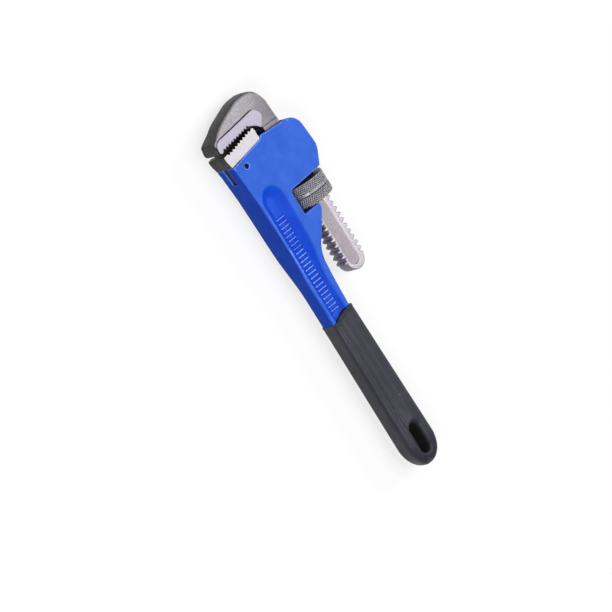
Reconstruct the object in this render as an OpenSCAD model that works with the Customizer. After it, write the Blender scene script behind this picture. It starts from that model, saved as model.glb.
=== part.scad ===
// Straight pipe wrench, 300 mm class, lying on its side.
// Local axes: the nut's axis is x = 0, the grip ends at y = 0, the mid-plane is z = 0.
// +Y runs from the grip to the head, and -X is the mouth side.

/* [Handle] */
// Thickness of the I-beam where it leaves the grip
beam_thick = 15; // [14:0.5:16.5]
// Thickness of the housing
head_thick = 22; // [21:0.5:23]
// Thickness of the web at the bottom of the recess, near the grip
web_thick = 7; // [6:0.5:8]
// Thickness of the web near the head
web_thick_head = 10; // [9:0.5:12]
// Height of the window's lower edge above the grip's end
window_low = 202.7; // [202.5:0.1:203]
// Height of the window's upper edge at the handle
window_high = 222.6; // [222.4:0.1:223]
// Width across the flats of the slot that the shank runs in
channel_gap = 13; // [12.8:0.1:13.4]

/* [Grip] */
// Width of the grip at its end
grip_width_end = 29; // [28:0.5:30]
// Width of the grip where it stops
grip_width_top = 25.5; // [25:0.5:26]
// Thickness of the grip where it stops
grip_thick_top = 19; // [18.5:0.5:20]
// Thickness of the grip at its end
grip_thick_end = 20; // [19.5:0.5:21]
// Length of the grip on the mouth side
grip_length = 125.4; // [120:0.2:130]
// Width of the hang slot
hang_slot_width = 9; // [8:0.5:10]
// Length of the hang slot
hang_slot_length = 25; // [20:1:28]

/* [Jaws] */
// Thickness of the heel jaw and of the toothed boss
jaw_thick = 20; // [18:0.5:21]
// Thickness of the rest of the hook
hook_thick = 16; // [14:0.5:17]
// Distance between teeth
tooth_pitch = 3.1; // [2.9:0.1:3.5]
// Depth of the teeth
tooth_depth = 1.5; // [1:0.1:1.5]
// Diameter of the pin that holds the heel jaw
heel_pin_diameter = 4; // [3:0.5:5]

/* [Screw] */
// Distance that one turn of the nut moves the jaw
thread_pitch = 4.8; // [4.6:0.1:5.1]
// Diameter over the thread's crests
thread_diameter = 22.6; // [21.6:0.2:22.6]
// Depth of the thread
thread_depth = 2.1; // [1.8:0.1:2.4]
// Thickness of the flat shank
shank_thick = 12; // [11:0.5:12]
// Diameter of the nut
nut_diameter = 32.5; // [31:0.5:34]
// Length of the nut
nut_length = 17.2; // [16:0.1:17.4]

/* [Hidden] */
$fn = 64;
hull_fn = 32;

// Overall reach, which sets the origin under the middle of the wrench
mouth_reach = 53.7;
back_reach = 20.46;
overall_length = 299.3;
origin = [(mouth_reach - back_reach) / 2, -overall_length / 2, nut_diameter / 2];

// Handle outline
mouth_edge_low = -47.4;
mouth_edge_head = -49.2;
back_edge = -24.3;
core_end = 9;
core_back_low = -23.2;
recess_head = [-35.6, 225.4];
recess_low = [-36.7, 50];
recess_radius_head = 4;
recess_radius_low = 4.4;
window_mouth = -19.8;
cut = 60;

// Shank channel, with room for the rock of the jaw on the mouth side
channel_mouth = -12.95;
channel_back = 11.75;
lug_web = -14.2;

// Springs
spring_axis_y = 246;
leaf_thick = 0.8;
leaf_width = 9;
leaf_low = 227;
leaf_high = 262;
leaf_face = -11.65;
pocket_radius = 4.6;
pocket_end = -24;
coil_radius = 3.3;
coil_wire = 0.9;
coil_turns = 5;
stud_radius = 2.2;
rock_room = 1.6;

// Heel jaw
seat_mouth = [-51.3, 262.2];
seat_throat = [-17.8, 266.3];
seat_angle = atan2(seat_throat[1] - seat_mouth[1], seat_throat[0] - seat_mouth[0]);
tongue_thick = 4.8;
tongue_slot = 5.3;
tongue_low = 249;
tongue_back = -30;
heel_pin = [-40.4, 257.2];
pin_clearance = 0.02;
heel_pin_inset = 1.5;

// Thread
crest_radius = thread_diameter / 2;
root_radius = crest_radius - thread_depth;
thread_low = 156.7;
thread_high = 236;
thread_half_angle = 38;
neck_high = 276;
shank_end = 144.7;
shank_tip_radius = 8.4;
neck_mouth = -8;
neck_back = 7.2;
panel_width = 9;
panel_middle = -1.1;
panel_depth = 0.9;
crest_flat = 1.3;
root_flat = 1.5;
flank_clearance = 0.35;
radial_clearance = 0.35;

// Nut
nut_low = 204.3;
nut_middle = nut_low + nut_length / 2;
nut_groove_width = 1.4;
nut_groove_depth = 0.7;
nut_chamfer = 0.7;
sleeve_radius = 13.2;
sleeve_inset = 0.3;
nut_steps = 36;
nut_levels_per_turn = 12;

// ---- Helpers ----

function unit(v) = v / norm(v);

// One corner of an outline: p is [x, y, radius], with its neighbours before and after
function corner(before, p, after, steps) =
    let (a = [p[0], p[1]],
         u = unit([before[0], before[1]] - a),
         v = unit([after[0], after[1]] - a),
         half = acos(max(-1, min(1, u * v))) / 2,
         r = len(p) > 2 ? p[2] : 0,
         reach = r / tan(half),
         start = a + u * reach,
         middle = a + unit(u + v) * r / sin(half),
         a0 = atan2(start[1] - middle[1], start[0] - middle[0]),
         a1 = atan2((a + v * reach)[1] - middle[1], (a + v * reach)[0] - middle[0]),
         turn = (a1 - a0 + 540) % 360 - 180)
    r == 0 ? [a] : [for (i = [0 : steps]) middle + r * [cos(a0 + turn * i / steps), sin(a0 + turn * i / steps)]];

// A closed outline whose corners [x, y, radius] are rounded by arcs
function rounded(corners, steps = 8) =
    let (n = len(corners))
    [for (i = [0 : n - 1], p = corner(corners[(i + n - 1) % n], corners[i], corners[(i + 1) % n], steps)) p];

// A row of teeth from p to q, which stand out on the left of that direction
function teeth(p, q, pitch, depth) =
    let (count = max(1, round(norm(q - p) / pitch)),
         along = (q - p) / count,
         out = unit([-along[1], along[0]]) * depth)
    [for (i = [0 : count - 1], k = [0, 1]) k == 0 ? p + along * i : p + along * (i + 0.5) + out];

module plate(points, thick) translate([0, 0, -thick / 2]) linear_extrude(thick) polygon(points);

module slot_prism(centre, length, radius, height) {
    for (side = [-1, 1])
        translate([centre[0], centre[1] + side * (length / 2 - radius), -height / 2])
            cylinder(h = height, r = radius);
    translate([centre[0] - radius, centre[1] - length / 2 + radius, -height / 2])
        cube([radius * 2, length - radius * 2, height]);
}

// ---- Handle ----

handle_outline = rounded([
    [-47.4, core_end, 10.5], [core_back_low, core_end, 10.5],
    [-26.2, 128, 60], [back_edge, 160, 60], [back_edge, 173.5, 26], [-4.1, 198.6, 9],
    [-4.1, window_low, 0.4], [window_mouth, window_low, 1.2], [window_mouth, window_high, 2.5],
    [13.3, 224.5, 1.5], [20.8, 236.6, 14], [18.7, 264.8, 11.5], [-17.2, 268.5, 0.8],
    seat_throat, seat_mouth,
    [mouth_edge_head, 236, 60], [mouth_edge_low, 150, 60]]);

// Half of the thickness along the handle, mirrored about the mid-plane
thickness_upper = [
    [core_end - 5, beam_thick / 2 - 4], [32, beam_thick / 2 - 0.4, 40], [150, beam_thick / 2, 80], [158, beam_thick / 2, 30],
    [188, head_thick / 2, 30], [280, head_thick / 2]];
thickness_outline = rounded(concat(
    [for (p = thickness_upper) [p[0], p[1], len(p) > 2 ? p[2] : 0]],
    [for (i = [len(thickness_upper) - 1 : -1 : 0])
        let (p = thickness_upper[i]) [p[0], -p[1], len(p) > 2 ? p[2] : 0]]));

module recess()
    hull() {
        translate([recess_head[0], recess_head[1], web_thick_head / 2])
            cylinder(h = 6, r1 = recess_radius_head, r2 = recess_radius_head + 6, $fn = hull_fn);
        translate([recess_low[0], recess_low[1], web_thick / 2])
            cylinder(h = 6, r1 = recess_radius_low, r2 = recess_radius_low + 6, $fn = hull_fn);
    }

module handle_blank()
    intersection() {
        plate(handle_outline, head_thick + 4);
        rotate([0, -90, 0])
            translate([0, 0, -cut]) linear_extrude(2 * cut + 40)
                polygon([for (p = thickness_outline) [p[1], p[0]]]);
    }

module shank_channel() {
    translate([channel_mouth, window_high - 6, -channel_gap / 2])
        cube([channel_back - channel_mouth, cut, channel_gap]);
    translate([lug_web, window_low - 50, -channel_gap / 2])
        cube([cut, 52, channel_gap]);
}

module spring_pocket() {
    translate([channel_mouth - rock_room, leaf_low - 1, -leaf_width / 2 - 0.5])
        cube([rock_room + 1, leaf_high - leaf_low + 2, leaf_width + 1]);
    translate([pocket_end, spring_axis_y, 0]) rotate([0, 90, 0]) cylinder(h = 16, r = pocket_radius);
}

module handle() color("royalblue")
    difference() {
        handle_blank();
        recess();
        mirror([0, 0, 1]) recess();
        shank_channel();
        spring_pocket();
        translate([-cut, tongue_low - 0.4, -tongue_slot / 2])
            cube([cut + tongue_back + 0.4, 30, tongue_slot]);
        translate([heel_pin[0], heel_pin[1], -cut]) cylinder(h = 2 * cut, d = heel_pin_diameter);
        slot_prism([hang_slot_x, hang_slot_y], hang_slot_length + 3.6, hang_slot_width / 2 + 1.8, cut);
    }

// ---- Grip ----

grip_middle = -35.5;
hang_slot_y = 21.2;
hang_slot_x = -36.1;
grip_nose = 20.5;
grip_corner_end = 6.5;
grip_corner_top = 4.8;
grip_slant = 13;
grip_groove_depth = 2.2;

module grip_blank()
    hull() {
        translate([grip_middle, grip_nose, 0])
            scale([grip_width_end / 2, grip_nose, grip_thick_end / 2]) sphere(r = 1, $fn = hull_fn);
        for (x = [-1, 1], z = [-1, 1]) {
            translate([grip_middle + x * (grip_width_end / 2 - grip_corner_end), grip_nose,
                       z * (grip_thick_end / 2 - grip_corner_end)])
                sphere(r = grip_corner_end, $fn = hull_fn);
            translate([grip_middle - 0.1 + x * (grip_width_top / 2 - grip_corner_top), grip_length + 10,
                       z * (grip_thick_top / 2 - grip_corner_top)])
                rotate([90, 0, 0]) cylinder(h = 1, r = grip_corner_top, $fn = hull_fn);
        }
    }

module grip_groove()
    hull()
        for (y = [48, grip_length + 30])
            translate([grip_middle - 0.4, y, grip_thick_top / 2 - grip_groove_depth])
                cylinder(h = 5, r1 = 2.6, r2 = 8.6, $fn = hull_fn);

module grip() color("dimgray")
    difference() {
        grip_blank();
        grip_groove();
        mirror([0, 0, 1]) grip_groove();
        handle_core();
        slot_prism([hang_slot_x, hang_slot_y], hang_slot_length, hang_slot_width / 2, cut);
        translate([grip_middle - 13, grip_length, -cut / 2]) rotate([0, 0, grip_slant])
            translate([-cut, 0, 0]) cube([2 * cut, cut, cut]);
    }

// The part of the casting that the grip is dipped over
module handle_core()
    difference() {
        handle_blank();
        recess();
        mirror([0, 0, 1]) recess();
        slot_prism([hang_slot_x, hang_slot_y], hang_slot_length + 3.6, hang_slot_width / 2 + 1.8, cut);
    }

// ---- Heel jaw ----

heel_teeth_mouth = [-47.1, 271.2];
heel_teeth_throat = [-22, 275.3];
heel_outline = concat(
    [[-52.9, 272.2], [-53.2, 270.2], [-52.6, 267], seat_mouth, seat_throat, [-18.6, 275.8], [-20.3, 276.7]],
    teeth(heel_teeth_throat, heel_teeth_mouth, tooth_pitch, -tooth_depth),
    [heel_teeth_mouth, [-48.7, 272.7]]);

module heel_jaw() color("gainsboro")
    difference() {
        union() {
            plate(heel_outline, jaw_thick + 0.6);
            translate([0, 0, -tongue_thick / 2]) linear_extrude(tongue_thick)
                polygon([[-47.6, tongue_low], [tongue_back, tongue_low], [tongue_back, 266.6], [-49.5, 264]]);
        }
        translate([heel_pin[0], heel_pin[1], -cut]) cylinder(h = 2 * cut, d = heel_pin_diameter);
    }

module heel_jaw_pin() color("dimgray")
    translate([heel_pin[0], heel_pin[1], -head_thick / 2 + heel_pin_inset])
        cylinder(h = head_thick - 2 * heel_pin_inset, r = heel_pin_diameter / 2 - pin_clearance);

// ---- Hook jaw ----

hook_teeth_mouth = [-50.1, 275.5];
hook_teeth_throat = [-20.6, 278.1];
hook_outline = concat(
    rounded([[-53.5, 275, 2.2], [-53.8, 283.8, 2.5], [-36, 292.4, 40], [-17, 299.6, 26], [-0.4, 299, 13],
             [5.6, 286, 14], [neck_back, 268.9, 0]]),
    [[neck_mouth, 270.3], [-11.3, 272.2], [-14.5, 275.2], [-17.6, 277.2]],
    teeth(hook_teeth_throat, hook_teeth_mouth, tooth_pitch, -tooth_depth),
    [hook_teeth_mouth]);
boss_outline = concat(
    rounded([[-53.6, 275, 2.2], [-53.7, 284.2, 5], [-36, 285, 30], [-9.6, 287, 6], [-4.6, 279.6, 5],
             [-11.4, 272.2, 1]]),
    [[-14.4, 274.9], [-17.6, 277]],
    teeth(hook_teeth_throat, hook_teeth_mouth, tooth_pitch, -tooth_depth),
    [hook_teeth_mouth]);

// A wedge of thread that winds about the Y axis, from angle a0 to a1, centred at height y when angle is 0
module thread_tooth(y, a0, a1) {
    steps = 8;
    lead = thread_pitch / 360;
    half_crest = crest_flat / 2;
    half_root = (thread_pitch - root_flat) / 2 + 0.35;
    inner = root_radius - 0.4;
    section = [[inner, -half_root], [crest_radius, -half_crest], [crest_radius, half_crest], [inner, half_root]];
    points = [for (i = [0 : steps], q = section)
        let (a = a0 + (a1 - a0) * i / steps)
        [q[0] * sin(a), y + q[1] - lead * (a - (a0 + a1) / 2), q[0] * cos(a)]];
    faces = concat(
        [[3, 2, 1, 0]],
        [for (i = [0 : steps - 1], k = [0 : 3]) [i * 4 + k, i * 4 + (k + 1) % 4, i * 4 + 4 + (k + 1) % 4]],
        [for (i = [0 : steps - 1], k = [0 : 3]) [i * 4 + k, i * 4 + 4 + (k + 1) % 4, i * 4 + 4 + k]],
        [[steps * 4, steps * 4 + 1, steps * 4 + 2, steps * 4 + 3]]);
    polyhedron(points, faces, convexity = 4);
}

module threaded_shank()
    intersection() {
        union() {
            translate([0, shank_end + shank_tip_radius, 0]) rotate([-90, 0, 0])
                cylinder(h = thread_high - shank_end - shank_tip_radius + 3, r = root_radius);
            intersection() {
                translate([0, shank_end + shank_tip_radius, -crest_radius])
                    cylinder(h = 2 * crest_radius, r = shank_tip_radius);
                translate([-cut, 0, -cut]) cube([2 * cut, shank_end + shank_tip_radius, 2 * cut]);
            }
            for (y = [thread_low : thread_pitch : thread_high]) {
                thread_tooth(y, 90 - thread_half_angle, 90 + thread_half_angle);
                thread_tooth(y - thread_pitch / 2, 270 - thread_half_angle, 270 + thread_half_angle);
            }
            translate([neck_mouth, thread_high - 4, -shank_thick])
                cube([neck_back - neck_mouth, neck_high - thread_high + 4, 2 * shank_thick]);
        }
        translate([-cut, 0, -shank_thick / 2]) cube([2 * cut, 300, shank_thick]);
    }

module shank_panel()
    translate([0, 0, shank_thick / 2 - panel_depth]) {
        translate([panel_middle, shank_end + shank_tip_radius + 1, 0]) cylinder(h = 5, d = panel_width);
        translate([panel_middle - panel_width / 2, shank_end + shank_tip_radius + 1, 0])
            cube([panel_width, 104, 5]);
    }

module hook_jaw() color("slategray")
    difference() {
        union() {
            plate(hook_outline, hook_thick);
            plate(boss_outline, jaw_thick);
            threaded_shank();
        }
        shank_panel();
        mirror([0, 0, 1]) shank_panel();
    }

// ---- Adjusting nut ----

// Radius of the nut's thread at a height and an angle: a groove that clears the shank's crest
function nut_thread_radius(y, a) =
    let (phase = ((y - lead_height(a)) / thread_pitch + 100.5) % 1 - 0.5,
         gap = abs(phase) * thread_pitch,
         half_crest = crest_flat / 2 + flank_clearance,
         half_root = (thread_pitch - root_flat) / 2 + flank_clearance,
         t = max(0, min(1, (gap - half_crest) / (half_root - half_crest))))
    (crest_radius + radial_clearance) * (1 - t) + (root_radius + radial_clearance) * t;

// Height of the shank's thread at an angle about the Y axis
function lead_height(a) = thread_low - thread_pitch * (a - 90) / 360;

module nut_sleeve() {
    levels = floor((nut_length - 2 * sleeve_inset) / thread_pitch * nut_levels_per_turn);
    y_at = [for (j = [0 : levels]) nut_low + sleeve_inset + (nut_length - 2 * sleeve_inset) * j / levels];
    inner = [for (j = [0 : levels], i = [0 : nut_steps - 1])
        let (a = 360 * i / nut_steps, r = nut_thread_radius(y_at[j], a)) [r * sin(a), y_at[j], r * cos(a)]];
    outer = [for (j = [0, levels], i = [0 : nut_steps - 1])
        let (a = 360 * i / nut_steps) [sleeve_radius * sin(a), y_at[j], sleeve_radius * cos(a)]];
    n = nut_steps;
    base = len(inner);
    faces = concat(
        [for (j = [0 : levels - 1], i = [0 : n - 1])
            [j * n + i, (j + 1) * n + (i + 1) % n, (j + 1) * n + i]],
        [for (j = [0 : levels - 1], i = [0 : n - 1])
            [j * n + i, j * n + (i + 1) % n, (j + 1) * n + (i + 1) % n]],
        [for (i = [0 : n - 1]) [base + i, base + n + i, base + n + (i + 1) % n, base + (i + 1) % n]],
        [for (i = [0 : n - 1]) [i, base + i, base + (i + 1) % n, (i + 1) % n]],
        [for (i = [0 : n - 1])
            [levels * n + (i + 1) % n, base + n + (i + 1) % n, base + n + i, levels * n + i]]);
    polyhedron(concat(inner, outer), faces, convexity = 8);
}

module adjusting_nut() color("gray")
    union() {
        translate([0, nut_low, 0]) rotate([-90, 0, 0]) rotate_extrude($fn = 96)
            polygon(nut_profile());
        nut_sleeve();
    }

function nut_profile() =
    let (r = nut_diameter / 2, l = nut_length, c = nut_chamfer, g = nut_groove_width / 2, d = nut_groove_depth,
         bore = crest_radius + 1)
    [[bore, 0], [r - c, 0], [r, c], [r, l / 2 - g - 0.4], [r - d, l / 2 - g], [r - d, l / 2 + g],
     [r, l / 2 + g + 0.4], [r, l - c], [r - c, l], [bore, l]];

// ---- Springs ----

module flat_spring() color("silver")
    translate([leaf_face - leaf_thick, leaf_low, -leaf_width / 2])
        cube([leaf_thick, leaf_high - leaf_low, leaf_width]);

module spring_stud() color("silver")
    translate([leaf_face - leaf_thick, spring_axis_y, 0]) rotate([0, -90, 0])
        cylinder(h = 3, r = stud_radius);

module coil_spring() color("silver") {
    length = leaf_face - leaf_thick - pocket_end;
    steps = 12;
    count = coil_turns * steps;
    sides = 8;
    points = [for (i = [0 : count], k = [0 : sides - 1])
        let (a = 360 * i / steps, b = 360 * k / sides, r = coil_radius + coil_wire / 2 * cos(b))
        [pocket_end + coil_wire / 2 + 0.05 + (length - coil_wire - 0.1) * i / count + coil_wire / 2 * sin(b),
         spring_axis_y + r * cos(a), r * sin(a)]];
    faces = concat(
        [[for (k = [0 : sides - 1]) k]],
        [for (i = [0 : count - 1], k = [0 : sides - 1])
            [i * sides + k, (i + 1) * sides + k, (i + 1) * sides + (k + 1) % sides]],
        [for (i = [0 : count - 1], k = [0 : sides - 1])
            [i * sides + k, (i + 1) * sides + (k + 1) % sides, i * sides + (k + 1) % sides]],
        [[for (k = [sides - 1 : -1 : 0]) count * sides + k]]);
    polyhedron(points, faces, convexity = 10);
}

module placed() translate(origin) children();

placed() handle();
placed() grip();
placed() heel_jaw();
placed() heel_jaw_pin();
placed() hook_jaw();
placed() adjusting_nut();
placed() flat_spring();
placed() spring_stud();
placed() coil_spring();
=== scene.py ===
import math
import bpy
import numpy as np
from mathutils import Matrix, Vector


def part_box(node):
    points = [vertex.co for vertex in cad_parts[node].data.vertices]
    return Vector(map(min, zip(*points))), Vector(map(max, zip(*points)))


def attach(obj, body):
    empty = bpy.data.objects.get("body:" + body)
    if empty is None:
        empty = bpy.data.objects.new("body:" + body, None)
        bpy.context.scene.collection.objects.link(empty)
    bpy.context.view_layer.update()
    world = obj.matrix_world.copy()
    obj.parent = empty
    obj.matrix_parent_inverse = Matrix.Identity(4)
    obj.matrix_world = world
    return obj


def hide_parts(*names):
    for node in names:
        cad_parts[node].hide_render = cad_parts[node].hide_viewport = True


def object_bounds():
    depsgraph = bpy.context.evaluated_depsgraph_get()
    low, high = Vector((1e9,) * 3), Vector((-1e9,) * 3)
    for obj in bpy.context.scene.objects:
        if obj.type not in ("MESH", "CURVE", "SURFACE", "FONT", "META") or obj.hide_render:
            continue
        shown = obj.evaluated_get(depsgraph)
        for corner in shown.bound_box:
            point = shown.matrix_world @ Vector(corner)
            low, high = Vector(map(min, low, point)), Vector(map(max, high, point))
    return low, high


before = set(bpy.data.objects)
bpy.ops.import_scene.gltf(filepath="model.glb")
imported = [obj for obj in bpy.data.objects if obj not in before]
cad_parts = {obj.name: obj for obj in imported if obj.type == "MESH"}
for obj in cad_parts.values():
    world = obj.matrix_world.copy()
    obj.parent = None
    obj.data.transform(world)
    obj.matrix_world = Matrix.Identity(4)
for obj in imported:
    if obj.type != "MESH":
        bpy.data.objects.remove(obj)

cad_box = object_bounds()

# Lengths below are in millimetres about the nut's axis: x = 0 on that axis and negative at the mouth,
# y = 0 at the grip's end, z = 0 on the mid-plane. ORIGIN is that point in the frame, in metres.
MM = 0.001
NUT_LOW_Y = 204.3
nut_low, nut_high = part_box("adjusting_nut")
ORIGIN = Vector(((nut_low[0] + nut_high[0]) / 2, nut_low[1] - NUT_LOW_Y * MM, (nut_low[2] + nut_high[2]) / 2))
COARSE = 1.0


# ---- Camera: the photograph's viewing angle ----

def add_camera():
    """Looks down at the wrench from its mouth side and a little from the head."""
    turn, rise, roll = math.radians(33), math.radians(12), math.radians(32)
    toward = Vector((-math.sin(turn) * math.cos(rise), math.sin(rise), math.cos(turn) * math.cos(rise)))
    right = Vector((math.cos(turn), 0, math.sin(turn)))
    up = toward.cross(right)
    cam_right = right * math.cos(roll) - up * math.sin(roll)
    cam_up = up * math.cos(roll) + right * math.sin(roll)
    aim = Vector((-0.0371, -0.00215, 0.01625))
    distance = 12.0
    frame_width = 0.437
    cam = bpy.data.objects.new("camera", bpy.data.cameras.new("camera"))
    bpy.context.scene.collection.objects.link(cam)
    facing = Matrix((cam_right, cam_up, toward)).transposed()
    cam.matrix_world = Matrix.Translation(aim + toward * distance) @ facing.to_4x4()
    cam.data.sensor_width = 36
    cam.data.lens = cam.data.sensor_width * distance / frame_width
    bpy.context.scene.camera = cam


# ---- Distance fields: negative inside, in millimetres ----

def round_max(a, b, r):
    """Where two fields meet, an outer edge rounded to radius r."""
    return np.minimum(np.maximum(a, b), -r) + np.hypot(np.maximum(a + r, 0), np.maximum(b + r, 0))


def round_min(a, b, r):
    """The union of two fields, with a fillet of radius r between them."""
    return -round_max(-a, -b, r)


def smooth(t, low, high):
    """0 below low, 1 above high and a smooth step between."""
    t = np.clip((t - low) / (high - low), 0, 1)
    return t * t * (3 - 2 * t)


def rounded(corners, steps=8):
    """The points of a closed outline whose corners (x, y, radius) are rounded by arcs."""
    points = []
    count = len(corners)
    for i, (cx, cy, radius) in enumerate(corners):
        here = Vector((cx, cy))
        if radius == 0:
            points.append(here)
            continue
        before = (Vector(corners[i - 1][:2]) - here).normalized()
        after = (Vector(corners[(i + 1) % count][:2]) - here).normalized()
        half = before.angle(after) / 2
        middle = here + (before + after).normalized() * radius / math.sin(half)
        start = here + before * radius / math.tan(half) - middle
        end = here + after * radius / math.tan(half) - middle
        first = math.atan2(start.y, start.x)
        sweep = (math.atan2(end.y, end.x) - first + math.pi) % (2 * math.pi) - math.pi
        for k in range(steps + 1):
            angle = first + sweep * k / steps
            points.append(middle + Vector((math.cos(angle), math.sin(angle))) * radius)
    return points


def outline_distance(x, y, points):
    """Signed distance from each grid point to a closed outline."""
    shape = np.broadcast(x, y).shape
    nearest = np.full(shape, 1e9, np.float32)
    inside = np.zeros(shape, bool)
    for a, b in zip(points, points[1:] + points[:1]):
        ex, ey = b[0] - a[0], b[1] - a[1]
        if ex == 0 and ey == 0:
            continue
        along = np.clip(((x - a[0]) * ex + (y - a[1]) * ey) / (ex * ex + ey * ey), 0, 1)
        nearest = np.minimum(nearest, (x - a[0] - along * ex) ** 2 + (y - a[1] - along * ey) ** 2)
        if ey != 0:
            inside ^= ((a[1] > y) != (b[1] > y)) & (x < ex * (y - a[1]) / ey + a[0])
    return np.where(inside, -1, 1) * np.sqrt(nearest)


def flat(points, x, y):
    """An outline's distance over the whole grid: the same at every z."""
    return outline_distance(x[:, :, 0], y[:, :, 0], points)[:, :, None]


def box_distance(x, y, z, low, high):
    """A block between two corners; None leaves a side open."""
    sides = []
    for value, a, b in zip((x, y, z), low, high):
        if a is not None:
            sides.append(a - value)
        if b is not None:
            sides.append(value - b)
    field = sides[0]
    for side in sides[1:]:
        field = np.maximum(field, side)
    return field


def teeth(start, end, pitch, depth):
    """A row of teeth from start to end, which stand out on the left of that direction."""
    start, end = Vector(start), Vector(end)
    count = max(1, round((end - start).length / pitch))
    along = (end - start) / count
    out = Vector((-along.y, along.x)).normalized() * depth
    points = []
    for i in range(count):
        points += [start + along * i, start + along * (i + 0.5) + out]
    return points


# ---- Meshes from fields ----

CELL_CORNERS = [(i, j, k) for i in (0, 1) for j in (0, 1) for k in (0, 1)]


def crossed_cells(inside):
    """The grid cells with some corners inside the shape and some outside."""
    cells = tuple(n - 1 for n in inside.shape)
    count = np.zeros(cells, np.uint8)
    for i, j, k in CELL_CORNERS:
        count += inside[i:i + cells[0], j:j + cells[1], k:k + cells[2]]
    return np.argwhere((count > 0) & (count < len(CELL_CORNERS)))


def cell_points(field, cells):
    """One point for each cell, in cells from the grid's corner: the mean of its edges' zero crossings."""
    total = np.zeros((len(cells), 3), np.float32)
    crossings = np.zeros((len(cells), 1), np.float32)
    for start in CELL_CORNERS:
        for axis in range(3):
            if start[axis]:
                continue
            end = tuple(1 if n == axis else start[n] for n in range(3))
            first = field[tuple((cells + start).T)]
            second = field[tuple((cells + end).T)]
            cross = (first < 0) != (second < 0)
            share = np.where(cross, first / np.where(cross, first - second, 1), 0)
            point = np.repeat(np.array([start], np.float32), len(cells), 0)
            point[:, axis] += share
            total += point * cross[:, None]
            crossings += cross[:, None]
    return cells + total / crossings


def quads_across(axis, inside, index):
    """A quad round each grid edge along one axis that the surface cuts, with its front outwards."""
    b, c = (axis + 1) % 3, (axis + 2) % 3
    lower = [slice(1, -1)] * 3
    upper = [slice(1, -1)] * 3
    lower[axis], upper[axis] = slice(0, -1), slice(1, None)
    first, second = inside[tuple(lower)], inside[tuple(upper)]
    edge = np.argwhere(first != second)
    leaves = first[tuple(edge.T)]
    offset = np.ones(3, int)
    offset[axis] = 0
    edge += offset
    ring = []
    for db, dc in ((1, 1), (0, 1), (0, 0), (1, 0)):
        cell = edge.copy()
        cell[:, b] -= db
        cell[:, c] -= dc
        ring.append(index[tuple(cell.T)])
    ring = np.stack(ring, 1)
    ring[~leaves] = ring[~leaves][:, ::-1]
    return ring


def surface(field, low, step):
    """Points and quads where a field passes through zero: one point in each cell that it crosses."""
    inside = field < 0
    cells = crossed_cells(inside)
    points = cell_points(field, cells) * step + np.array(low, np.float32)
    index = np.full(tuple(n - 1 for n in field.shape), -1, np.int32)
    index[tuple(cells.T)] = np.arange(len(cells))
    return points, np.concatenate([quads_across(axis, inside, index) for axis in range(3)])


def quad_mesh(name, points, quads):
    """A mesh from points in metres and the four points of each face."""
    mesh = bpy.data.meshes.new(name)
    mesh.vertices.add(len(points))
    mesh.vertices.foreach_set("co", points.ravel())
    mesh.loops.add(len(quads) * 4)
    mesh.loops.foreach_set("vertex_index", quads.astype(np.int32).ravel())
    mesh.polygons.add(len(quads))
    mesh.polygons.foreach_set("loop_start", np.arange(0, len(quads) * 4, 4, dtype=np.int32))
    mesh.update(calc_edges=True)
    return mesh


def thin_out(piece, keep):
    """Leaves about this share of the piece's faces, and takes most of them from its flat parts."""
    thin = piece.modifiers.new("thin", "DECIMATE")
    thin.ratio = min(1.0, keep * COARSE ** 2)
    bpy.context.view_layer.update()
    graph = bpy.context.evaluated_depsgraph_get()
    lighter = bpy.data.meshes.new_from_object(piece.evaluated_get(graph))
    piece.modifiers.clear()
    piece.data = lighter


def solid(name, low, high, step, field_at, keep):
    """A mesh piece from a field, over the box from low to high, in cells of the given step."""
    step = step * COARSE
    axes = [np.arange(a - 2 * step, b + 3 * step, step, dtype=np.float32) for a, b in zip(low, high)]
    x, y, z = axes[0][:, None, None], axes[1][None, :, None], axes[2][None, None, :]
    field = np.broadcast_to(field_at(x, y, z), tuple(len(a) for a in axes)).astype(np.float32)
    points, quads = surface(field, [a[0] for a in axes], step)
    points = (points * MM + np.array(ORIGIN, np.float32)).astype(np.float32)
    piece = bpy.data.objects.new(name, quad_mesh(name, points, quads))
    bpy.context.scene.collection.objects.link(piece)
    thin_out(piece, keep)
    piece.data.polygons.foreach_set("use_smooth", np.ones(len(piece.data.polygons), bool))
    return piece


# ---- Handle ----

BACK = -24.3
WINDOW_LOW, WINDOW_HIGH, WINDOW_MOUTH = 202.7, 222.6, -19.8
SEAT_MOUTH, SEAT_THROAT = (-51.3, 262.2), (-17.8, 266.3)
SEAT_SLOPE = (SEAT_THROAT[1] - SEAT_MOUTH[1]) / (SEAT_THROAT[0] - SEAT_MOUTH[0])
HANDLE_OUTLINE = rounded([
    (-47.4, 9, 10.5), (-23.2, 9, 10.5), (-26.2, 128, 60), (BACK, 160, 60), (BACK, 173.5, 26),
    (-4.1, 198.6, 9), (-4.1, WINDOW_LOW, 0.6), (WINDOW_MOUTH, WINDOW_LOW, 1.2),
    (WINDOW_MOUTH, WINDOW_HIGH, 2.5), (13.3, 223.5, 1.5), (20.8, 236.6, 14), (18.7, 264.8, 11.5),
    (-17.2, 268.5, 0.8), (*SEAT_THROAT, 0), (*SEAT_MOUTH, 0), (-49.2, 236, 60), (-47.4, 150, 60)], 12)
# Half of the thickness at the grip's end, along the I-beam and at the housing.
END_HALF, BEAM_HALF, HEAD_HALF = 4.2, 7.5, 11.0
# How much smaller the casting is under the grip, all round.
UNDER_GRIP = 0.9
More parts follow.
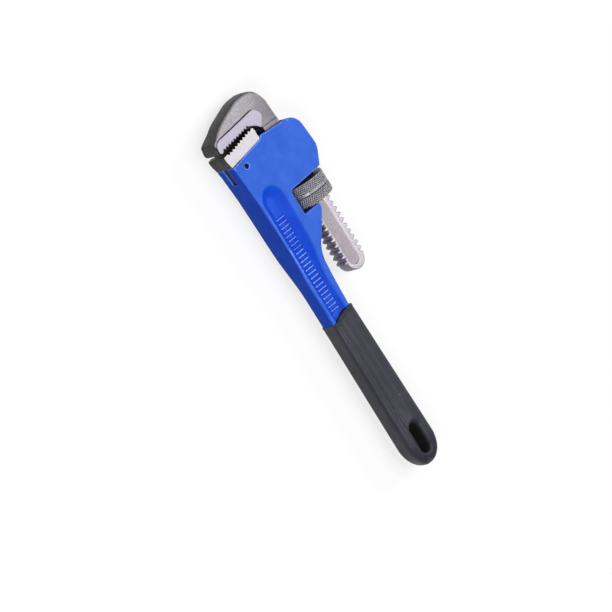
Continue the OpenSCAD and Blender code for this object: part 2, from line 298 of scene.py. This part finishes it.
# Half of the width of the shank's channel through the housing.
CHANNEL_HALF = 6.5
HEEL_PIN = (-40.4, 257.2)
RECESS_LOW, RECESS_HIGH, RECESS_END_SLOPE = 52, 224.4, 0.85
FIRST_BAR, LAST_BAR, BAR_PITCH = 133.5, 210.5, 3.5
BAR_HALF_LENGTH, BAR_HALF_WIDTH, BAR_HEIGHT = 4.1, 0.7, 0.7
SLOT_X, SLOT_Y, SLOT_HALF_LENGTH, SLOT_RADIUS = -36.1, 21.2, 12.2, 4.3


def beam_half(y):
    """Half of the casting's thickness: an I-beam that swells into the housing."""
    end = smooth(y, 2, 34)
    return END_HALF + (BEAM_HALF - END_HALF) * end + (HEAD_HALF - BEAM_HALF) * smooth(y, 151, 191)


def recess_centre(y):
    """x of the recess's middle line."""
    return np.interp(y, (40, 166, 225), (-36.8, -37.2, -36.0))


def recess_floor(y):
    """Distance of the recess's floor from the mid-plane."""
    return np.interp(y, (50, 225), (3.5, 4.95))


def recess_distance(x, y, z):
    """The long hollow in each flat side, with a flat floor and sloping walls."""
    half_floor = np.interp(y, (60, 166, 217), (4.4, 4.9, 4.0))
    slope = np.interp(y, (150, 215), (0.67, 0.94))
    depth = np.abs(z) - recess_floor(y)
    past_end = (np.maximum(y - RECESS_HIGH, 0) + np.maximum(RECESS_LOW - y, 0)) * RECESS_END_SLOPE
    aside = np.hypot(x - recess_centre(y), past_end)
    wall = (aside - half_floor - np.maximum(depth, 0) * slope) / np.sqrt(1 + slope ** 2)
    return round_max(wall, -depth, 0.9)


def recess_bars(x, y, z):
    """A row of plain raised bars on the recess's floor."""
    last = round((LAST_BAR - FIRST_BAR) / BAR_PITCH)
    nearest = FIRST_BAR + BAR_PITCH * np.clip(np.round((y - FIRST_BAR) / BAR_PITCH), 0, last)
    aside = np.maximum(np.abs(x - recess_centre(y)) - BAR_HALF_LENGTH, np.abs(y - nearest) - BAR_HALF_WIDTH)
    return round_max(aside, np.abs(z) - recess_floor(y) - BAR_HEIGHT, 0.5)


def slot_distance(x, y, grow):
    """The hang slot's outline, made larger by grow."""
    past = np.maximum(np.abs(y - SLOT_Y) - SLOT_HALF_LENGTH + SLOT_RADIUS, 0)
    return np.hypot(x - SLOT_X, past) - SLOT_RADIUS - grow


def pin_distance(x, y, radius):
    """The hole for the heel jaw's pin, through the casting or the tongue."""
    return np.hypot(x - HEEL_PIN[0], y - HEEL_PIN[1]) - radius


def casting_edge(x, y):
    """Radius of the casting's outer edges: smaller along the heel jaw's seat and round the window."""
    near_seat = smooth(y - SEAT_MOUTH[1] - SEAT_SLOPE * (x - SEAT_MOUTH[0]), -5, -1)
    level_with_window = smooth(y, 197, 201) * (1 - smooth(y, 225, 232))
    near_window = level_with_window * smooth(x, -26, -22) * (1 - smooth(x, 6, 12))
    back = smooth(x, 12, 18)
    return 1.4 - near_seat - (0.8 * near_window - 0.1 * back) * (1 - near_seat)


def casting(x, y, z):
    """The handle's casting before anything but recess and hang slot is cut into it."""
    shrink = UNDER_GRIP * (1 - smooth(y, 121, 125))
    outline = flat(HANDLE_OUTLINE, x, y) + shrink
    half = beam_half(y) - shrink
    # The narrow face at the mouth side is crowned, as a casting that draws from its mould.
    crown = 0.4 * (z / half) ** 2 * (1 - smooth(x, -44, -38))
    body = round_max(outline + crown, np.abs(z) - half, casting_edge(x, y))
    body = round_max(body, -recess_distance(x, y, z), 0.8)
    return round_max(body, -slot_distance(x, y, 1.8), 0.5)


def handle_field(x, y, z):
    """The casting with its bars, and all that is cut for the shank, the springs, the tongue and the pin."""
    bars = np.maximum(recess_bars(x, y, z), np.abs(z) - 8)
    body = np.minimum(casting(x, y, z), bars)
    channel = box_distance(x, y, z, (-12.95, WINDOW_HIGH - 6, -CHANNEL_HALF), (11.75, None, CHANNEL_HALF))
    fork_low, fork_high = WINDOW_LOW - 50, WINDOW_LOW + 2
    fork = box_distance(x, y, z, (-14.2, fork_low, -CHANNEL_HALF), (None, fork_high, CHANNEL_HALF))
    leaf_seat = box_distance(x, y, z, (-14.55, 226, -5), (-11.95, 263, 5))
    tongue_slot = box_distance(x, y, z, (None, 248.6, -2.65), (-29.6, None, 2.65))
    for cut in (channel, fork, leaf_seat, tongue_slot):
        body = round_max(body, -cut, 0.5)
    spring_pocket = np.maximum(np.hypot(y - 246, z) - 4.6, np.maximum(-24 - x, x + 8))
    body = np.maximum(body, -spring_pocket)
    return round_max(body, -pin_distance(x, y, 2.05), 0.25)


# ---- Grip ----

# Length of the rounded end, and the air between vinyl and casting.
NOSE = 20.5
CASTING_GAP = 0.05


def grip_field(x, y, z):
    """Vinyl dipped over the casting: it follows the I-beam softly and ends in a rounded nose."""
    up = np.clip((y - 20) / 108, 0, 1)
    middle = -35.35 - 0.45 * up
    # The outline narrows to a half round over the nose's length.
    nose = np.sqrt(np.clip(1 - np.clip((NOSE - y) / NOSE, 0, 1) ** 2, 1e-4, 1))
    half_width = (13.65 - 1.75 * up) * nose
    corner = (6.3 - 2.0 * up) * nose
    # The I-beam's recess shows through the vinyl as a soft groove.
    hollow = smooth(x, -43.4, -41.4) * (1 - smooth(x, -39, -32))
    groove = 0.9 * smooth(y, 7, 16) + 1.6 * smooth(y, 30, 55)
    half_thick = (10 - 0.6 * up) * nose ** 0.9 - groove * hollow
    body = round_max(np.abs(x - middle) - half_width, np.abs(z) - half_thick, corner)
    body = np.maximum(body, -y)
    # The upper lip steps up towards the back and ends in a low rolled bead.
    lip = 127.8 + 2.4 * np.tanh((x + 37.5) / 5)
    bead = 0.3 * np.exp(-((lip - y - 1.2) / 1.1) ** 2)
    body = round_max(body - bead, y - lip, 0.9)
    slot_flare = 1.8 + 1.6 * smooth(x, -38, -34)
    body = round_max(body, -slot_distance(x, y, 0), slot_flare)
    return np.maximum(body, -casting(x, y, z) - CASTING_GAP)


# ---- Jaws ----

# Outlines seen from the flat side. The two toothed lines face each other with the jaws closed.
TOOTH_PITCH, TOOTH_DEPTH = 3.1, 1.7
HEEL_TEETH = teeth((-22, 275.2), (-47.1, 271.1), TOOTH_PITCH, -TOOTH_DEPTH)
HEEL_OUTLINE = [
    (-52.9, 272.2), (-53.2, 270.2), (-52.6, 267), SEAT_MOUTH, SEAT_THROAT, (-18.6, 275.8), (-20.3, 276.7),
    *HEEL_TEETH, (-47.1, 271.1), (-48.7, 272.8)]
TONGUE = [(-48.7, 249), (-30, 249), (-30, 266.6), (-50.2, 264)]
HOOK_TEETH = teeth((-20.6, 278.2), (-50.1, 275.5), TOOTH_PITCH, -TOOTH_DEPTH) + [(-50.1, 275.5)]
HOOK_THROAT = [(-8, 270.3), (-11.3, 272.2), (-14.5, 275.2), (-17.6, 277.2)]
HOOK_OUTLINE = rounded([
    (-53.5, 275, 2.2), (-53.7, 283.7, 2.5), (-38, 292.7, 40), (-17.5, 299.2, 28), (-0.4, 299, 13),
    (5.6, 286, 14), (7.2, 268.9, 0)]) + HOOK_THROAT + HOOK_TEETH
BOSS_OUTLINE = rounded([
    (-53.4, 275, 2.2), (-53.4, 284.2, 6), (-36, 285, 30), (-9.6, 287, 6), (-4.6, 279.6, 5),
    (-11.4, 272.2, 1)]) + [(-14.4, 274.9), (-17.6, 277)] + HOOK_TEETH
# Half of each form's thickness, and the reach of the CAD hook, which the forging stays inside.
HEEL_HALF, TONGUE_HALF, BOSS_HALF, PLATE_HALF = 10.3, 2.4, 10, 8
HOOK_LOW_X, HOOK_HIGH_Y = -53.7, 299.4


def heel_field(x, y, z):
    """The heel jaw's toothed block and its tongue, with the pin's hole."""
    outline = flat(HEEL_OUTLINE, x, y)
    tongue = flat(TONGUE, x, y)
    block = round_max(outline, np.abs(z) - HEEL_HALF, 0.35)
    tongue = round_max(tongue, np.abs(z) - TONGUE_HALF, 0.3)
    return np.maximum(np.minimum(block, tongue), -pin_distance(x, y, 2.02))


# The screw thread, shared by the shank and the nut: its pitch, where it starts, its core and its depth.
PITCH, THREAD_LOW = 4.8, 156.7
ROOT, DEPTH = 9.2, 2.1
# The shank's flat sides and the panels in them, from the mid-plane, and its rounded end.
SHANK_HALF, PANEL_HALF = 6.0, 5.1
END_RADIUS, END_Y = 8.4, 153.1


def thread_radius(x, y, z, clearance):
    """Radius of the thread at a point: rounded crests that wind about the Y axis."""
    turns = np.arctan2(x, z) / (2 * np.pi) - 0.25
    phase = (y - THREAD_LOW) / PITCH + turns
    gap = np.abs((phase + 0.5) % 1 - 0.5) * PITCH
    rise = 1 - smooth(gap, 0.35 + clearance, 1.75 + clearance)
    return ROOT + DEPTH * rise + clearance


def shank_panel(x, y, z):
    """The long shallow hollow in each flat side of the shank."""
    past_end = np.maximum(END_Y + 1 - y, 0) + np.maximum(y - 258, 0)
    aside = np.hypot(x + 1.1, past_end) - 4.5
    depth = np.abs(z) - PANEL_HALF
    return round_max((aside - depth * 0.8) / 1.3, -depth, 0.4)


def shank_field(x, y, z):
    """The threaded rod with its rounded end, cut off by two flat sides, and the plain neck above it."""
    around = np.hypot(x, z)
    thread = (around - thread_radius(x, y, z, 0)) * 0.7
    rod = round_max(thread, END_Y - 0.3 - y, 0.6)
    disc = np.maximum(np.hypot(x, y - END_Y) - END_RADIUS, y - END_Y - 1)
    neck = box_distance(x, y, z, (-8, 232, -SHANK_HALF), (7.0, 270, SHANK_HALF))
    rod = np.maximum(rod, y - 236)
    whole = np.minimum(round_min(rod, disc, 0.4), neck)
    whole = round_max(whole, np.abs(z) - SHANK_HALF, 0.8)
    return round_max(whole, -shank_panel(x, y, z), 0.5)


def hook_field(x, y, z):
    """The forged hook with softer outer edges, its toothed boss and the shank."""
    outline = flat(HOOK_OUTLINE, x, y)
    boss = flat(BOSS_OUTLINE, x, y)
    outside = np.maximum(smooth(y, 279, 286), smooth(x, -6, 2))
    crown = (0.4 * (z / PLATE_HALF) ** 2 - 0.3) * outside
    mouth_end = smooth(-x, 43, 51)
    # The plate is thinner over the throat and a little thicker at the mouth.
    half = PLATE_HALF - 1.8 * (1 - smooth(y, 266, 294)) * smooth(x, -30, -10) + 1.1 * mouth_end
    edge = 1.0 + 1.2 * outside * (1 - mouth_end)
    plate = round_max(outline + crown, np.abs(z) - half, edge)
    boss = round_max(boss, np.abs(z) - BOSS_HALF, 0.4)
    jaw = round_min(plate, boss, 0.8)
    whole = round_min(jaw, shank_field(x, y, z), 0.5)
    past_cad = np.maximum(HOOK_LOW_X - x, y - HOOK_HIGH_Y)
    return np.maximum(whole, past_cad)


# ---- Nut ----

NUT_RADIUS, NUT_LENGTH = 16.25, 17.2
NUT_MIDDLE = NUT_LOW_Y + NUT_LENGTH / 2
KNURL_STARTS, KNURL_LEAD, KNURL_DEPTH = 58, 2.1, 0.55
THREAD_CLEARANCE = 0.35


def knurl(x, y, z):
    """Height of the diamond knurl, from 0 to 1."""
    turn = np.arctan2(x, z) / (2 * np.pi) * KNURL_STARTS
    one = 1 - np.abs(((turn + y / KNURL_LEAD) % 1) * 2 - 1)
    other = 1 - np.abs(((turn - y / KNURL_LEAD) % 1) * 2 - 1)
    return np.clip(np.minimum(one, other) * 1.5, 0, 1)


def nut_field(x, y, z):
    """Two knurled bands with a plain band and a turned line between them, and the thread's bore."""
    around = np.hypot(x, z)
    across = np.abs(y - NUT_MIDDLE)
    knurled = smooth(across, 0.8, 1.1) * (1 - smooth(across, 7.6, 7.9))
    line = np.exp(-((y - NUT_MIDDLE + 1.35) / 0.3) ** 2)
    radius = NUT_RADIUS - knurled * KNURL_DEPTH * (1 - knurl(x, y, z)) - 0.2 * (1 - knurled) - 0.2 * line
    body = round_max(around - radius, across - NUT_LENGTH / 2, 0.8)
    bore = thread_radius(x, y, z, THREAD_CLEARANCE) - around
    return round_max(body, bore, 0.3)


# ---- Materials: widths and heights are in metres, colours as they look on a screen ----

def srgb(r, g, b):
    """A colour given as it looks on a screen, 0 to 255, in the renderer's own scale."""
    shares = [c / 255 for c in (r, g, b)]
    return tuple(c / 12.92 if c < 0.0404 else ((c + 0.055) / 1.055) ** 2.4 for c in shares) + (1,)


class Nodes:
    """Short calls for building one material's nodes."""

    def __init__(self, name):
        self.material = bpy.data.materials.new(name)
        self.material.use_nodes = True
        self.tree = self.material.node_tree
        self.shader = self.tree.nodes["Principled BSDF"]

    def add(self, kind, settings=None, **inputs):
        """A new node, with its settings and what goes into its sockets."""
        node = self.tree.nodes.new(kind)
        for key, value in (settings or {}).items():
            setattr(node, key, value)
        for key, value in inputs.items():
            self.plug(node.inputs[key.replace("_", " ")], value)
        return node

    def plug(self, socket, value):
        """Links a node's output to the socket, or writes a plain value on it."""
        if isinstance(value, bpy.types.NodeSocket):
            self.tree.links.new(value, socket)
        else:
            socket.default_value = value

    def place(self):
        """Where the surface point is, in the frame."""
        return self.add("ShaderNodeTexCoord").outputs["Object"]

    def noise(self, scale, detail=4.0, rough=0.55, stretch=(1, 1, 1)):
        """A cloudy pattern, about 0.3 to 0.7, with this many clouds to a metre."""
        where = self.add("ShaderNodeMapping", Vector=self.place(), Scale=stretch).outputs[0]
        kind = "ShaderNodeTexNoise"
        return self.add(kind, Vector=where, Scale=scale, Detail=detail, Roughness=rough).outputs[0]

    def ramp(self, value, low, high, a=0.0, b=1.0):
        """value from low..high to a..b, with a smooth step."""
        node = self.add("ShaderNodeMapRange", {"interpolation_type": "SMOOTHSTEP"})
        for i, v in enumerate((value, low, high, a, b)):
            self.plug(node.inputs[i], v)
        return node.outputs[0]

    def mix(self, share, a, b):
        """Colour a where the share is 0, colour b where it is 1."""
        node = self.add("ShaderNodeMix", {"data_type": "RGBA"})
        self.plug(node.inputs[0], share)
        self.plug(node.inputs[6], a)
        self.plug(node.inputs[7], b)
        return node.outputs[2]

    def mottled(self, pattern, low, high, dark, pale):
        """A pattern's values from low to high as a range of colour from dark to pale."""
        return self.mix(self.ramp(pattern, low, high), dark, pale)

    def calc(self, operation, a, b=0.0):
        """One step of arithmetic."""
        node = self.add("ShaderNodeMath", {"operation": operation})
        self.plug(node.inputs[0], a)
        self.plug(node.inputs[1], b)
        return node.outputs[0]

    def normal_z(self):
        """How squarely the surface faces the wrench's flat sides, 0 to 1."""
        normal = self.add("ShaderNodeNewGeometry").outputs["Normal"]
        parts = self.add("ShaderNodeSeparateXYZ", Vector=normal)
        return self.calc("ABSOLUTE", parts.outputs["Z"])

    def from_origin(self, axis):
        """Place along one axis, in metres from ORIGIN."""
        parts = self.add("ShaderNodeSeparateXYZ", Vector=self.place())
        return self.calc("SUBTRACT", parts.outputs[axis], ORIGIN["XYZ".index(axis)])

    def height(self):
        """Distance from the mid-plane."""
        return self.calc("ABSOLUTE", self.from_origin("Z"))

    def across(self):
        """Distance from the nut's axis towards the wrench's back."""
        return self.from_origin("X")

    def along(self):
        """Distance from the grip's end."""
        return self.from_origin("Y")

    def radius(self):
        """Distance from the nut's axis."""
        across, deep = self.from_origin("X"), self.from_origin("Z")
        return self.calc("SQRT", self.calc("ADD", self.calc("MULTIPLY", across, across),
                                           self.calc("MULTIPLY", deep, deep)))

    def edges(self):
        """About 0.5 on flat ground, more on ridges and less in corners."""
        return self.add("ShaderNodeNewGeometry").outputs["Pointiness"]

    def bump(self, height, distance, strength=1.0, below=None):
        """A surface normal from a pattern's height, on top of the normal below."""
        node = self.add("ShaderNodeBump", Strength=strength, Distance=distance, Height=height)
        if below is not None:
            self.plug(node.inputs["Normal"], below)
        return node.outputs[0]

    def finish(self, color, rough, normal=None, metallic=0.0, specular=0.5):
        """Plugs what was made into the shader and gives the material."""
        sockets = self.shader.inputs
        self.plug(sockets["Base Color"], color)
        self.plug(sockets["Roughness"], rough)
        self.plug(sockets["Metallic"], metallic)
        self.plug(sockets["Specular IOR Level"], specular)
        if normal is not None:
            self.plug(sockets["Normal"], normal)
        return self.material


def enamel():
    """Blue enamel on cast iron: satin, with painted light paler on its flat sides, painted highlights on its
    ridges and painted shade in its corners and recess.
    """
    n = Nodes("blue_enamel")
    color = n.mottled(n.noise(60, 3), 0.35, 0.7, srgb(22, 76, 208), srgb(28, 84, 216))
    # Painted light: a paler copy of the blue on the flat sides, and less of it on the recess floor as painted
    # shade.
    lit_flat_color = n.mottled(n.noise(90, 4), 0.3, 0.7, srgb(50, 96, 204), srgb(58, 105, 212))
    above_recess = n.ramp(n.height(), 0.0055, 0.0068, 0.4, 1.0)
    flat_side = n.ramp(n.normal_z(), 0.96, 0.995, 0.0, above_recess)
    color = n.mix(flat_side, color, lit_flat_color)
    # Painted highlight along the ridges.
    color = n.mix(n.ramp(n.edges(), 0.506, 0.545), color, srgb(118, 156, 248))
    # Painted shade in the corners.
    color = n.mix(n.ramp(n.edges(), 0.496, 0.46), color, srgb(10, 40, 160))
    cast = n.bump(n.noise(190, 4, 0.6), 0.0004, 0.8)
    skin = n.bump(n.noise(1500, 2, 0.5), 0.00003, 0.5, cast)
    rough = n.ramp(n.noise(240, 4), 0.3, 0.7, 0.32, 0.44)
    return n.finish(color, rough, skin, specular=0.07)


def slot_depth(n):
    """1 deep inside the hang slot and 0 on the rest of the grip."""
    off_slot = n.calc("ABSOLUTE", n.calc("SUBTRACT", n.across(), SLOT_X * MM))
    deep = n.calc("MULTIPLY", n.ramp(n.height(), 0.009, 0.004), n.ramp(off_slot, 0.0066, 0.0052))
    deep = n.calc("MULTIPLY", deep, n.ramp(n.along(), 0.0385, 0.0345))
    return n.calc("MULTIPLY", deep, n.ramp(n.along(), 0.0072, 0.0095))


def vinyl():
    """Charcoal dipped vinyl: soft sheen, faint pores, painted highlights on its ridges, and painted shade,
    near black, with a dull finish inside the hang slot.
    """
    n = Nodes("charcoal_vinyl")
    color = n.mottled(n.noise(45, 4), 0.3, 0.7, srgb(46, 46, 56), srgb(55, 54, 65))
    # Painted highlight along the ridges.
    color = n.mix(n.ramp(n.edges(), 0.53, 0.6), color, srgb(84, 84, 95))
    deep = slot_depth(n)
    # Painted shade: near black deep inside the hang slot.
    color = n.mix(deep, color, srgb(4, 4, 5))
    grain = n.bump(n.noise(900, 4, 0.6), 0.00006, 0.6)
    outer_rough = n.ramp(n.noise(150, 4), 0.3, 0.7, 0.38, 0.5)
    rough = n.ramp(deep, 0.0, 0.7, outer_rough, 1.0)
    return n.finish(color, rough, grain, specular=0.3)


def hook_color(n, grain, brushed, squarely):
    """The hook: dark scale on its edges, a blasted flat face with painted shade towards the back, and a
    ground boss.
    """
    face = n.mottled(grain, 0.32, 0.68, srgb(132, 129, 134), srgb(186, 182, 188))
    face = n.mix(n.ramp(n.noise(110, 3), 0.4, 0.65, 0, 0.6), face, srgb(150, 145, 152))
    # Painted shade: the face darkens towards the back.
    face = n.mix(n.ramp(n.across(), -0.012, 0.005, 0, 0.55), face, srgb(104, 101, 110))
    scale = n.mottled(n.noise(300, 5), 0.3, 0.7, srgb(26, 26, 30), srgb(58, 57, 62))
    color = n.mix(n.ramp(squarely, 0.35, 0.85), scale, face)
    ground = n.mottled(brushed, 0.2, 0.8, srgb(168, 164, 180), srgb(188, 184, 199))
    on_boss = n.calc("MULTIPLY", n.ramp(n.height(), 0.0092, 0.0097), n.ramp(squarely, 0.8, 0.95))
    return n.mix(on_boss, color, ground)


def shank_color(n, grain, brushed, squarely):
    """The machined shank: grey thread flanks with painted shade in their valleys, pale rims round a brown
    panel, and grease with painted shade above the nut.
    """
    flank = n.mottled(grain, 0.3, 0.7, srgb(122, 115, 124), srgb(164, 157, 166))
    # Painted shade in the thread's valleys.
    flank = n.mix(n.ramp(n.edges(), 0.495, 0.45), flank, srgb(40, 37, 42))
    panel = n.mottled(grain, 0.3, 0.7, srgb(146, 136, 144), srgb(180, 170, 178))
    rim = n.mottled(brushed, 0.3, 0.7, srgb(182, 176, 184), srgb(208, 202, 210))
    machined = n.mix(n.ramp(n.height(), 0.0053, 0.0057), panel, rim)
    machined = n.mix(n.ramp(squarely, 0.6, 0.9), flank, machined)
    # Grease and painted shade: dark above the nut, in the gap under the window's ceiling.
    grease_and_shade = n.mottled(grain, 0.3, 0.7, srgb(38, 37, 43), srgb(62, 60, 67))
    return n.mix(n.ramp(n.along(), 0.2070, 0.2100), machined, grease_and_shade)


def forged():
    """Forged steel: the hook above, the shank below, and painted highlights on the ridges of both."""
    n = Nodes("forged_steel")
    squarely = n.normal_z()
    grain = n.noise(1300, 5, 0.7)
    brushed = n.noise(1600, 4, 0.6, (0.3, 1.5, 1.5))
    below_hook = n.ramp(n.along(), 0.268, 0.262)
    hook = hook_color(n, grain, brushed, squarely)
    color = n.mix(below_hook, hook, shank_color(n, grain, brushed, squarely))
    # Painted highlight along the ridges.
    color = n.mix(n.ramp(n.edges(), 0.53, 0.62, 0, 0.7), color, srgb(190, 185, 193))
    pits = n.bump(grain, 0.00012, 0.7)
    lines = n.bump(brushed, 0.00003, 0.4, pits)
    rough = n.ramp(n.noise(500, 4), 0.3, 0.7, 0.4, 0.55)
    return n.finish(color, rough, lines, metallic=0.55)


def ground_jaw():
    """The heel jaw: bright ground sides, black hardened skin elsewhere, painted highlights on its edges, and
    a dull tongue.
    """
    n = Nodes("hardened_steel")
    brushed = n.noise(1600, 4, 0.6, (0.3, 1.5, 1.5))
    bright = n.mottled(brushed, 0.2, 0.8, srgb(192, 188, 194), srgb(212, 208, 214))
    black = n.mottled(n.noise(350, 5), 0.3, 0.7, srgb(8, 7, 10), srgb(24, 21, 28))
    color = n.mix(n.ramp(n.normal_z(), 0.7, 0.92), black, bright)
    on_tongue = n.ramp(n.height(), 0.0028, 0.0024)
    color = n.mix(on_tongue, color, srgb(40, 36, 28))
    # Painted highlight along the edges.
    color = n.mix(n.ramp(n.edges(), 0.53, 0.62, 0, 0.8), color, srgb(220, 216, 222))
    bump = n.bump(brushed, 0.00004, 0.5)
    return n.finish(color, n.ramp(n.noise(400, 4), 0.3, 0.7, 0.36, 0.5), bump, metallic=0.45)


def nut_steel():
    """Knurled steel: bright crests, darker between the diamonds, and oil with painted shade in the bore and
    on its ends.
    """
    n = Nodes("knurled_steel")
    around = n.radius()
    color = n.mottled(n.noise(260, 4), 0.3, 0.7, srgb(120, 118, 125), srgb(150, 148, 155))
    color = n.mix(n.ramp(around, 0.0160, 0.01622), color, srgb(196, 193, 200))
    # Darker between the diamonds.
    color = n.mix(n.ramp(around, 0.01597, 0.01572), color, srgb(64, 62, 67))
    # Oil and painted shade: dark in the bore and on the end faces.
    oil_and_shade = n.ramp(around, 0.0154, 0.0150)
    color = n.mix(oil_and_shade, color, srgb(30, 30, 36))
    bump = n.bump(n.noise(1500, 4, 0.6), 0.00005, 0.5)
    return n.finish(color, n.ramp(n.noise(600, 4), 0.3, 0.7, 0.32, 0.46), bump, metallic=0.6)


def spring_steel():
    """Blued spring steel."""
    n = Nodes("spring_steel")
    drawn = n.noise(600, 4, 0.6, (1, 0.2, 1))
    color = n.mottled(drawn, 0.3, 0.7, srgb(96, 98, 106), srgb(142, 144, 150))
    bump = n.bump(drawn, 0.00002, 0.5)
    return n.finish(color, n.ramp(n.noise(500, 3), 0.3, 0.7, 0.25, 0.4), bump, metallic=0.9)


def pin_steel():
    """The dark spring pin."""
    n = Nodes("pin_steel")
    color = n.mottled(n.noise(900, 4), 0.3, 0.7, srgb(10, 10, 12), srgb(24, 23, 26))
    bump = n.bump(n.noise(1800, 3), 0.00003, 0.5)
    return n.finish(color, n.ramp(n.noise(700, 3), 0.3, 0.7, 0.35, 0.5), bump, metallic=0.8)


# ---- Put together ----

def dress(piece, node, body, material):
    """Gives a new piece its body, the node that it stands for and its material."""
    piece.data.materials.clear()
    piece.data.materials.append(material)
    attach(piece, body)
    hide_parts(node)


def build_pieces():
    """The five pieces that stand for CAD nodes: each field's box, cell size and share of faces kept."""
    handle = solid("handle_casting", (-53, 6, -11.2), (21.5, 269, 11.2), 0.5, handle_field, 0.45)
    dress(handle, "handle", "frame", enamel())
    grip = solid("grip_sleeve", (-50, 0, -10.2), (-21, 131, 10.2), 0.5, grip_field, 0.7)
    dress(grip, "grip", "frame", vinyl())
    heel = solid("heel_jaw_block", (-53.5, 248.5, -10.5), (-17.5, 277, 10.5), 0.3, heel_field, 0.6)
    dress(heel, "heel_jaw", "frame", ground_jaw())
    hook = solid("hook_jaw_forging", (-54, 144.5, -10.2), (12, 299.6, 10.2), 0.34, hook_field, 0.5)
    dress(hook, "hook_jaw", "hook", forged())
    nut_box = (-16.5, NUT_LOW_Y, -16.5), (16.5, NUT_LOW_Y + NUT_LENGTH, 16.5)
    nut = solid("nut_knurled", *nut_box, 0.22, nut_field, 0.75)
    dress(nut, "adjusting_nut", "nut", nut_steel())


def finish_cad_node(node, material):
    """Gives a CAD node that stays in view its own material."""
    data = bpy.data.objects[node].data
    data.materials.clear()
    data.materials.append(material)


# ---- Stage ----

def floor_material():
    """White where it is seen or mirrored, and a middle grey for the light that it throws back."""
    n = Nodes("floor")
    n.finish(srgb(96, 96, 98), 0.9, specular=0.0)
    path = n.add("ShaderNodeLightPath")
    mirrored = n.calc("MAXIMUM", path.outputs["Is Glossy Ray"], path.outputs["Is Transmission Ray"])
    seen = n.calc("MAXIMUM", path.outputs["Is Camera Ray"], mirrored)
    white = n.add("ShaderNodeBsdfDiffuse", Color=(1, 1, 1, 1)).outputs[0]
    glow = n.add("ShaderNodeEmission", Color=(1, 1, 1, 1), Strength=1.0).outputs[0]
    shown = n.add("ShaderNodeMixShader", Fac=0.72)
    n.plug(shown.inputs[1], white)
    n.plug(shown.inputs[2], glow)
    mixed = n.add("ShaderNodeMixShader", Fac=seen)
    n.plug(mixed.inputs[1], n.shader.outputs[0])
    n.plug(mixed.inputs[2], shown.outputs[0])
    n.plug(n.tree.nodes["Material Output"].inputs["Surface"], mixed.outputs[0])
    return n.material


def add_floor():
    """A wide floor just under the wrench."""
    mesh = bpy.data.meshes.new("floor")
    reach = 6
    corners = [(-reach, -reach, 0), (reach, -reach, 0), (reach, reach, 0), (-reach, reach, 0)]
    mesh.from_pydata(corners, [], [(0, 1, 2, 3)])
    mesh.materials.append(floor_material())
    floor = bpy.data.objects.new("floor", mesh)
    floor.location.z = cad_box[0][2] - 0.0002
    bpy.context.scene.collection.objects.link(floor)


def add_lamp(name, place, size, power):
    """A soft square lamp that faces the wrench's middle."""
    light = bpy.data.lights.new(name, "AREA")
    light.size = size
    light.energy = power
    lamp = bpy.data.objects.new(name, light)
    lamp.location = place
    toward = Vector((0, 0, 0.01)) - Vector(place)
    lamp.rotation_euler = toward.to_track_quat("-Z", "Y").to_euler()
    bpy.context.scene.collection.objects.link(lamp)


def add_world():
    """A weak even light from all round."""
    world = bpy.data.worlds.new("world")
    bpy.context.scene.world = world
    world.use_nodes = True
    plain = world.node_tree.nodes["Background"]
    plain.inputs["Color"].default_value = (1, 1, 1, 1)
    plain.inputs["Strength"].default_value = 0.16


add_camera()
build_pieces()
finish_cad_node("heel_jaw_pin", pin_steel())
for spring in ("flat_spring", "spring_stud", "coil_spring"):
    finish_cad_node(spring, spring_steel())
add_floor()
add_world()
add_lamp("overhead", (0.1, 0.05, 1.3), 0.9, 9)
add_lamp("back_side", (1.3, 0.1, 0.9), 0.7, 8)
add_lamp("head_end", (-0.1, 1.3, 0.8), 0.6, 1.5)
add_lamp("mouth_side", (-1.15, -0.1, 1.15), 0.7, 11)
bpy.context.scene.view_settings.view_transform = "Standard"
